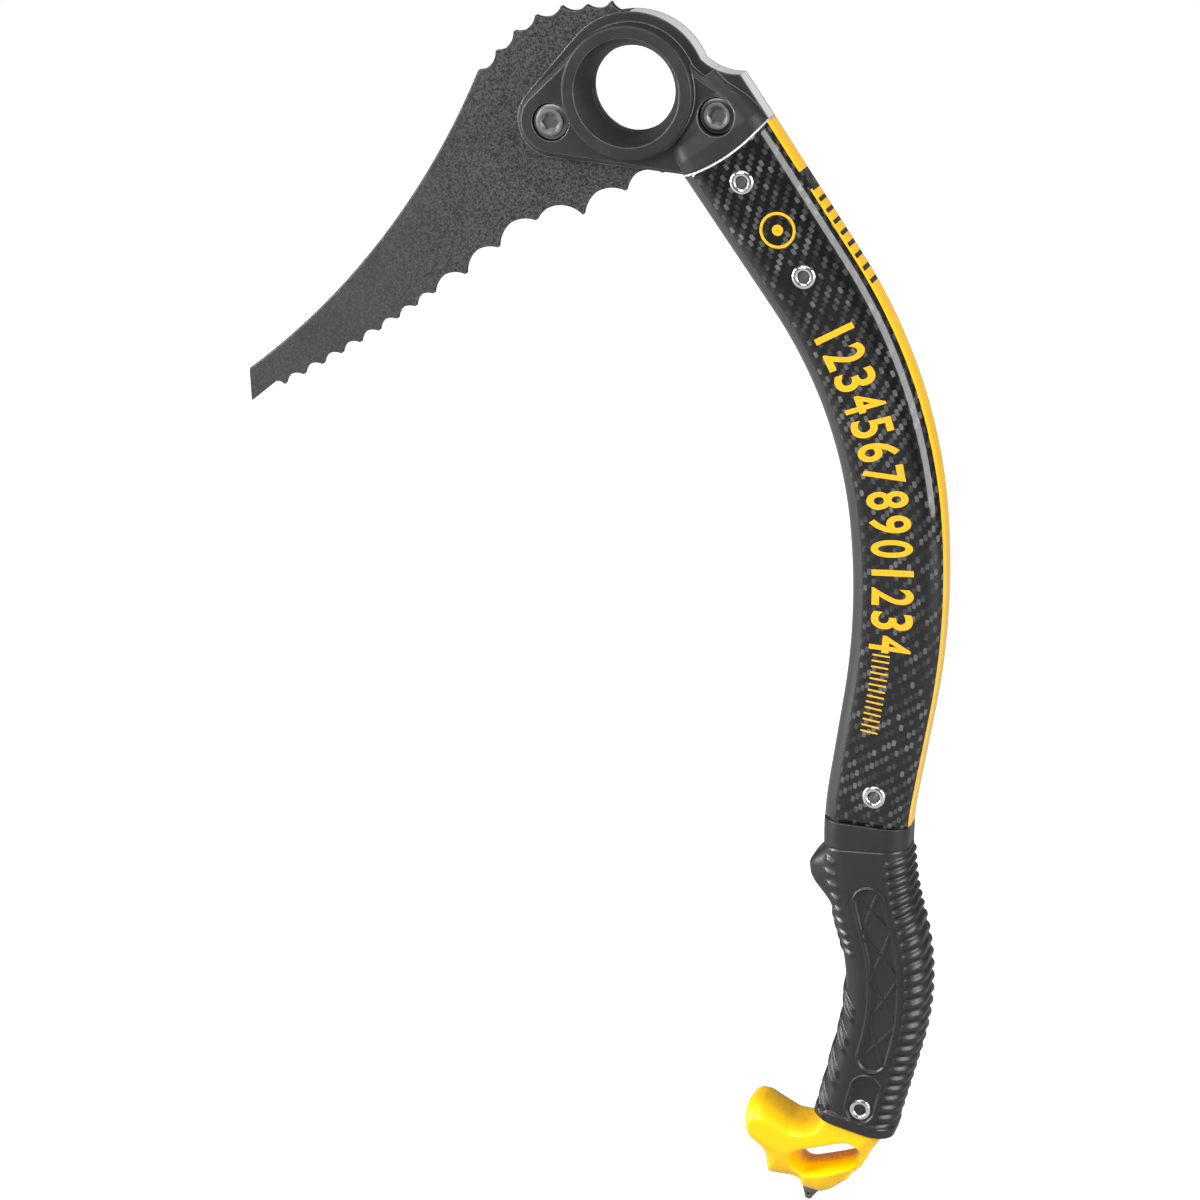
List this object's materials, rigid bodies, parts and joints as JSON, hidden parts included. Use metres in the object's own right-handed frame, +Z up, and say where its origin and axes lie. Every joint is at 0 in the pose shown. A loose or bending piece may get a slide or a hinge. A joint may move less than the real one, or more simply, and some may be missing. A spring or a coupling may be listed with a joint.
{
  "type": "technical ice axe",
  "caption": "Curved technical ice axe: toothed steel pick bolted in a forged head with a carabiner eye, composite shaft, ribbed rubber grip, hand-rest pommel and spike.",
  "frame": {"origin": "centre of the eye in the head", "axes": "+Z up along the tool's length with the spike down, the pick towards -X, the eye running along Y"},
  "size_m": [0.293, 0.032, 0.4997],
  "materials": {
    "pick_steel": "matt, speckled",
    "forged_alloy": "satin black",
    "bolt_steel": "black oxide",
    "carbon": "clear gloss over twill weave",
    "tube_alloy": "satin",
    "grip_rubber": "satin",
    "pommel_plastic": "gloss",
    "spike_steel": "satin",
    "rivet_chrome": "polished"
  },
  "bodies": {
    "axe": {"pick": "pick_steel", "head": "forged_alloy", "pick_nut_front": "bolt_steel", "pick_nut_rear": "bolt_steel", "shaft": "carbon", "handle_core": "tube_alloy", "grip": "grip_rubber", "shaft_spacer": "tube_alloy", "pommel": "pommel_plastic", "spike": "spike_steel", "spike_pin": "spike_steel", "head_rivet_upper": "rivet_chrome", "head_rivet_lower": "rivet_chrome", "shaft_rivet": "rivet_chrome", "pommel_rivet": "rivet_chrome"},
    "front_bolt": {"pick_bolt_front": "bolt_steel"},
    "rear_bolt": {"pick_bolt_rear": "bolt_steel"}
  },
  "joints": [
    {"name": "front_bolt_out", "type": "slide", "parent": "axe", "child": "front_bolt", "axis": [0, -1, 0], "range_m": [0, 0.014]},
    {"name": "rear_bolt_out", "type": "slide", "parent": "axe", "child": "rear_bolt", "axis": [0, -1, 0], "range_m": [0, 0.014]}
  ]
}
